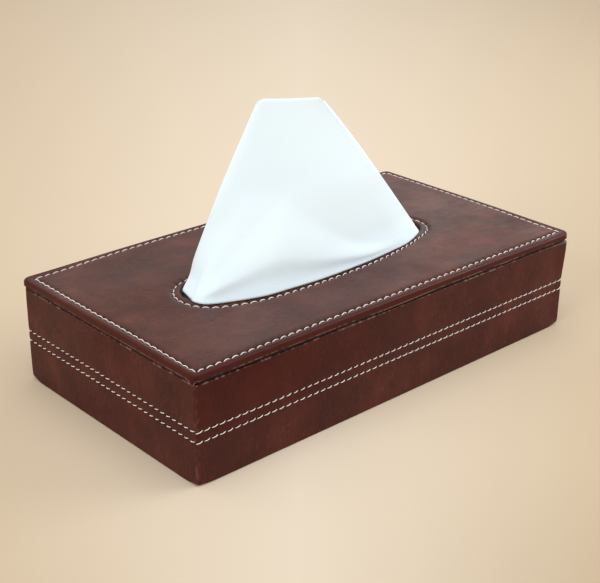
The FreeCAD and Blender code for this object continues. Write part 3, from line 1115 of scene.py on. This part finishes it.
TOP_PATH = (
    (12, 2.6), (3, 4), (-5, 3.2), (-12, 2.4), (-15.4, 1.5),
    (-16.3, 0.2), (-15.2, -0.2), (-13.6, -0.5), (-11.6, -0.8), (-9.5, -1),
    (-6.5, -1.25), (-3.6, -1.4), (0, -1.5), (4, -1.4), (8, -1.2), (11.5, -0.9), (15, -0.45),
    (18.2, 0),
    (18.6, 2.6), (15, 5.4), (8, 5), (-2, 6.4), (-11, 5.6),
)
LEFT_FOLD, RIGHT_FOLD = 5, 17
TISSUE_BOW = 20
# Height of the lip's touch, and how far over it the soft crease runs across the front.
LIP_HEIGHTS = (55.3,) * 6 + (55.2, 55.1, 55) + (55,) * 9 + (55.6,) * 5
CREASE_RISES = (3,) * 9 + (7.5, 15.5, 14.5, 11, 7.5, 4.2, 2.8, 2.5, 2.5) + (3,) * 5
CREASE_DEPTHS = (0,) * 7 + (0.2, 0.7, 1.6, 2.4, 2.2, 1.9, 1.5, 1, 0.4, 0.1) + (0,) * 6


def curve_through(knots):
    """Points of a Catmull-Rom curve through knots, the same number between each pair."""
    knots = np.asarray(knots, float)
    padded = np.vstack([2 * knots[0] - knots[1], knots, 2 * knots[-1] - knots[-2]])
    t = np.linspace(0, 1, TISSUE_SPAN, endpoint=False)[:, None]
    spans = []
    for a, b, c, d in zip(padded, padded[1:], padded[2:], padded[3:]):
        bend = (2 * a - 5 * b + 4 * c - d) * t**2 + (3 * b - a - 3 * c + d) * t**3
        spans.append(0.5 * (2 * b + (c - a) * t + bend))
    return np.vstack(spans + [knots[-1:]])


def knot_values(values):
    """Numbers given at the sheet's knots, eased in between."""
    return curve_through(np.column_stack([np.arange(len(values)), values]))[:, 1]


def run_along(line):
    """Distance along an open line at each of its points."""
    return np.concatenate([[0], np.cumsum(np.linalg.norm(np.diff(line, axis=0), axis=1))])


def tissue_top():
    """Plan of the sheet's top edge, and how far it drops at its corners and along the flaps."""
    local = curve_through(TOP_PATH)
    right = np.array([math.cos(TISSUE_TWIST), math.sin(TISSUE_TWIST)])
    back = np.array([-right[1], right[0]])
    top = TISSUE_MIDDLE + local[:, :1] * right + local[:, 1:] * back
    along = run_along(local)
    from_fold = np.minimum(*(np.abs(along - along[fold * TISSUE_SPAN]) for fold in (LEFT_FOLD, RIGHT_FOLD)))
    inside = np.clip(TISSUE_CORNER - from_fold, 0, TISSUE_CORNER)
    drop = TISSUE_CORNER - np.sqrt(np.maximum(TISSUE_CORNER**2 - inside**2, 0))
    # The top edge slopes a little, and the flaps end lower than the front, as layers of a pulled tissue do.
    slope = 1.45 * np.clip(local[:, 0] / 16, -1, 1) - 0.85
    return top, drop + slope + np.clip(local[:, 1], 0, None) * 0.75


def panel_base():
    """Plan of the flat front carried down to the lip: a gentle bow between its two folds."""
    knots = np.array(LIP_PATH)
    front = knots[LEFT_FOLD : RIGHT_FOLD + 1]
    way = run_along(front)
    share = (way / way[-1])[:, None]
    skew = share**0.8
    bow = np.hstack([np.zeros_like(share), 4 * TISSUE_BOW * skew * (1 - skew)])
    knots[LEFT_FOLD : RIGHT_FOLD + 1] = front[0] + (front[-1] - front[0]) * share - bow
    return curve_through(knots)


def tissue_ease(order, share, over):
    """Sideways ease of the sheet: full edges and slow ripples."""
    spans = len(FOOT_PATH) - 1
    left, right = hump(order * spans - LEFT_FOLD, 4.5), hump(order * spans - RIGHT_FOLD, 3.5)
    aside = math.sin(math.pi * share) * (0.6 * right - 1.4 * left) + 1.25 * left * hump(over - 6.5, 5)
    ripple = 0.5 * waves(np.column_stack([order * 6, 0 * order]), 1, 6, over / 80)
    return np.column_stack([aside, ripple * min(share * 4, 1) * (1 - 0.6 * share)])


def tissue_rows():
    """Rows of the sheet from its foot in the mouth, over lip and soft crease, to its top edge."""
    foot, lip, base = curve_through(FOOT_PATH), curve_through(LIP_PATH), panel_base()
    top, drop = tissue_top()
    touch, rise, depth = (knot_values(values) for values in (LIP_HEIGHTS, CREASE_RISES, CREASE_DEPTHS))
    order = np.arange(len(foot)) / (len(foot) - 1)
    rows = [level(foot, z) for z in np.linspace(TISSUE_FOOT, TISSUE_NECK, 8, endpoint=False)]
    for share in np.linspace(0, 1, 16, endpoint=False):
        rows.append(level(foot + (lip - foot) * share**6, TISSUE_NECK + (touch - TISSUE_NECK) * share))
    for share in np.concatenate([np.linspace(0, 0.36, 44, endpoint=False), np.linspace(0.36, 1, 46)]):
        over = share * (TISSUE_TOP - touch)
        step = over / rise
        under = np.sin(np.clip(step, 0, 1) * math.pi / 2) ** 3.5
        crease = np.where(step < 1, under, 1 - smooth((step - 1) / 1.5))
        gone = 1 - smooth(over / TISSUE_FLARE)
        flat = base + (top - base) * share + (lip - base) * gone[:, None] + tissue_ease(order, share, over)
        flat[:, 1] -= depth * crease
        rows.append(level(flat, touch + over - drop * share**6))
    return rows


def stand_tissue():
    """The tissue that stands in the mouth, with its two side flaps folded round behind."""
    rows = tissue_rows()
    points = np.vstack(rows)
    faces = grid_faces(len(rows), len(rows[0]), rows_close=False, ends_meet=False)
    piece = finish_mesh("tissue_in_mouth", points, faces, tissue_finish)
    # Painted shade: the sheet is a little greyer between about 61 and 102 mm up, where it faces up into the
    # light.
    add_attribute(piece, "tissue_shade", smooth((102 - points[:, 2]) / 18) * smooth((points[:, 2] - 61) / 9))
    solid = piece.modifiers.new("plies", "SOLIDIFY")
    solid.thickness = TISSUE_THICKNESS * MM
    solid.offset = 0
    dress(piece, "tissue", "tissue_sheet")


stand_tissue()


# ------------------------ Geometry Nodes: stack of tissues


def stack_tree():
    """Geometry Nodes: folded leaves with rounded fold edges, laid on each other a little out of line."""
    inputs = {
        "Leaves": 48, "Leaf Length": 0.2, "Leaf Width": 0.1, "Leaf Thickness": 0.0007, "Bottom": 0.0,
        "Shift": 0.0003, "Seed": 1, "Finish": "Material",
    }
    tree, given = new_tree("leaf_stack", inputs)
    thickness = given["Leaf Thickness"]
    half = times(tree, given["Leaf Length"], 0.5)
    ends = {"Start": vector(tree, times(tree, half, -1)), "End": vector(tree, half)}
    outline = {"Width": given["Leaf Width"], "Height": thickness}
    section = result(tree, "GeometryNodeCurvePrimitiveQuadrilateral", outline)
    radius = times(tree, thickness, 0.42)
    rounding = {"mode": "POLY", "Count": 3, "Curve": section, "Radius": radius}
    swept = {
        "Curve": result(tree, "GeometryNodeCurvePrimitiveLine", ends),
        "Profile Curve": result(tree, "GeometryNodeFilletCurve", rounding),
        "Fill Caps": True,
    }
    first = calculate(tree, "ADD", given["Bottom"], times(tree, thickness, 0.5))
    pile = {
        "mode": "OFFSET",
        "Count": given["Leaves"],
        "Start Location": vector(tree, 0, 0, first),
        "Offset": vector(tree, 0, 0, thickness),
    }
    low = times(tree, given["Shift"], -1)
    seeds = [calculate(tree, "ADD", given["Seed"], float(index)) for index in range(2)]
    aside = vector(tree, *(random_number(tree, low, given["Shift"], seed) for seed in seeds))
    points = result(tree, "GeometryNodeMeshLine", pile)
    placed = {
        "Points": result(tree, "GeometryNodeSetPosition", {"Geometry": points, "Offset": aside}),
        "Instance": result(tree, "GeometryNodeCurveToMesh", swept),
    }
    return end_tree(tree, result(tree, "GeometryNodeInstanceOnPoints", placed), given["Finish"])


def stack_tissues():
    length, width, height = STACK_SIZE
    values = {
        "Leaves": STACK_LAYERS,
        "Leaf Length": (length - LEAF_MARGIN) * MM,
        "Leaf Width": (width - LEAF_MARGIN) * MM,
        "Leaf Thickness": height / STACK_LAYERS * MM,
        "Bottom": STACK_BOTTOM * MM,
        "Shift": LEAF_SHIFT * MM,
        "Seed": 21,
        "Finish": tissue_finish,
    }
    dress(run_tree("folded_tissues", stack_tree(), values), "case", "tissue_stack")


stack_tissues()


# ------------------------ hinge strip


def hinge_section():
    """Section of the strip in Y and Z: up the back wall, round the fold and in under the lid."""
    y, z = HINGE_AXIS
    half = HINGE_THICKNESS / 2
    outside = [(y + half, height) for height in (WALL_LEAF_LOW + 0.2, 40, 45, 48)]
    outside += [(y + half * (1 - b), z + 0.3 + half * (1 - a)) for a, b in quarter_turn(18)]
    outside += [(place, LID_BOTTOM) for place in (y - 1, y - 5, y - 11, LID_LEAF_REACH)]
    inside = [(place, LID_BOTTOM - HINGE_THICKNESS) for place in (LID_LEAF_REACH, y - 11, y - 5, y - 1.2)]
    inside += [(y - half, height) for height in (48.6, 48, 45, 40, WALL_LEAF_LOW)]
    return outside + inside


def hinge_piece():
    """One strip of leather from the back wall to the lid's underside, curved round its fold as it lies with
    the lid shut.
    """
    section = hinge_section()
    stations = np.linspace(-HINGE_LENGTH / 2, HINGE_LENGTH / 2, 93)
    points = [(x, y, z) for x in stations for y, z in section]
    count = len(section)
    faces = [face[::-1] for face in grid_faces(len(stations), count, rows_close=False)]
    faces.append(tuple(range(count)))
    faces.append(tuple(reversed(range(len(points) - count, len(points)))))
    piece = finish_mesh("hinge_strip", points, faces, hinge_finish)
    piece.data.shade_flat()
    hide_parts("hinge_strip_lower", "hinge_strip_upper", "hinge_fold")
    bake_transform(piece)


hinge_piece()


# ------------------------ linings, padding and bottom sheet

# Inset and height of the lid's lining where it turns up round the board's edge.
LINING_TURN = (
    (0.89, 50.2), (0.89, 50.6), (0.86, 50.85), (0.6, 50.85), (0.5, 50.7), (0.48, 50.1), (0.6, 49.8),
)


def line_lid():
    """Flock on the lid's underside, turned up round the board's edge under the leather."""
    edges = [(4, LID_BOARD_LOW), *LINING_TURN, (0.85, LID_BOTTOM), (4, LID_BOTTOM)]
    rings = levels(mouth_at, ((0.92, 50.17), (5, LID_BOARD_LOW))) + levels(lid_ring, edges)
    rings += levels(mouth_at, ((5, LID_BOTTOM), (0.92, LID_BOTTOM + 0.03)))
    piece = ring_piece("lid_flock_lining", rings, flock_finish)
    area = area_of(lid_ring(0)) - area_of(mouth_at(LEATHER))
    dress(piece, "lid", "lid_lining")


def pad_lid():
    """Thin foam between the lid's board and its leather, with softened edges."""
    edges = [(0.02, PADDING_LOW), (0, 52.9), (0.12, 53.3), (0.5, 53.55), (1.4, 53.58), (4, 53.58)]
    edges = [(LEATHER + 0.03 + inset, height) for inset, height in edges]
    rings = [level(lid_ring(inset), height - lid_sag * (height - PADDING_LOW)) for inset, height in edges]
    rings += levels(mouth_at, reversed(edges))
    piece = ring_piece("lid_foam", rings, foam_finish)
    dress(piece, "lid", "lid_padding")


def line_walls():
    """Flock round the inside of the walls, its upper edge under the turned-in rim."""
    inner, outer = FLANGE, FLANGE - LINING
    edges = [(outer, FLOOR_BOARD_TOP), (outer, BOARD_TOP - 0.05), (inner - 0.1, BOARD_TOP - 0.05)]
    down = (47.6, 42, 34, 26, 18, 10, FLOOR_BOARD_TOP + LINING, FLOOR_BOARD_TOP)
    edges += [(inner, height) for height in down]
    plan = rectangle_plan(CASE_HALF - inner, 0.4, 2, 3)
    rings = levels(lambda inset: on_rectangle(plan, CASE_HALF - inset, 0.4), edges)
    piece = ring_piece("wall_flock", rings, flock_finish)
    dress(piece, "case", "wall_lining")


def flat_sheet(name, half, low, thickness, material):
    """Thin rectangular sheet with eased edges, closed above and below."""
    plan = rectangle_plan(half, 0.6, 2, 3)
    shape = [(0, 0.25), (0, 0.75), (0.12, 1), (3, 1), (3, 0), (0.12, 0)]
    rings = [level(on_rectangle(plan, half - inset, 0.6), low + share * thickness) for inset, share in shape]
    count = len(plan)
    top, bottom = 3 * count, 4 * count
    faces = [face for face in grid_faces(len(shape), count) if face[0] // count != 3]
    faces.append(tuple(range(top, top + count)))
    faces.append(tuple(reversed(range(bottom, bottom + count))))
    return finish_mesh(name, np.concatenate(rings), faces, material)


def lay_sheets():
    """Flock on the case's floor, and non-woven sheet under the case, between the leather's hems."""
    half = CASE_HALF - FLANGE
    piece = flat_sheet("floor_flock", half, FLOOR_BOARD_TOP, LINING, flock_finish)
    dress(piece, "case", "floor_lining")
    half = CASE_HALF - HEM
    piece = flat_sheet("bottom_nonwoven", half, 0, LEATHER, nonwoven_finish)
    dress(piece, "case", "bottom_cover")


line_lid()
pad_lid()
line_walls()
lay_sheets()


# ------------------------ finishes on the frame's own parts

finishes = {name: board_finish for name in ["base_board", "lid_board", *WALL_BOARDS]}
finishes["wall_magnets"] = magnet_finish
finishes["lid_keeper_plates"] = keeper_finish

for node_name, finish in finishes.items():
    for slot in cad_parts[node_name].material_slots:
        slot.material = finish
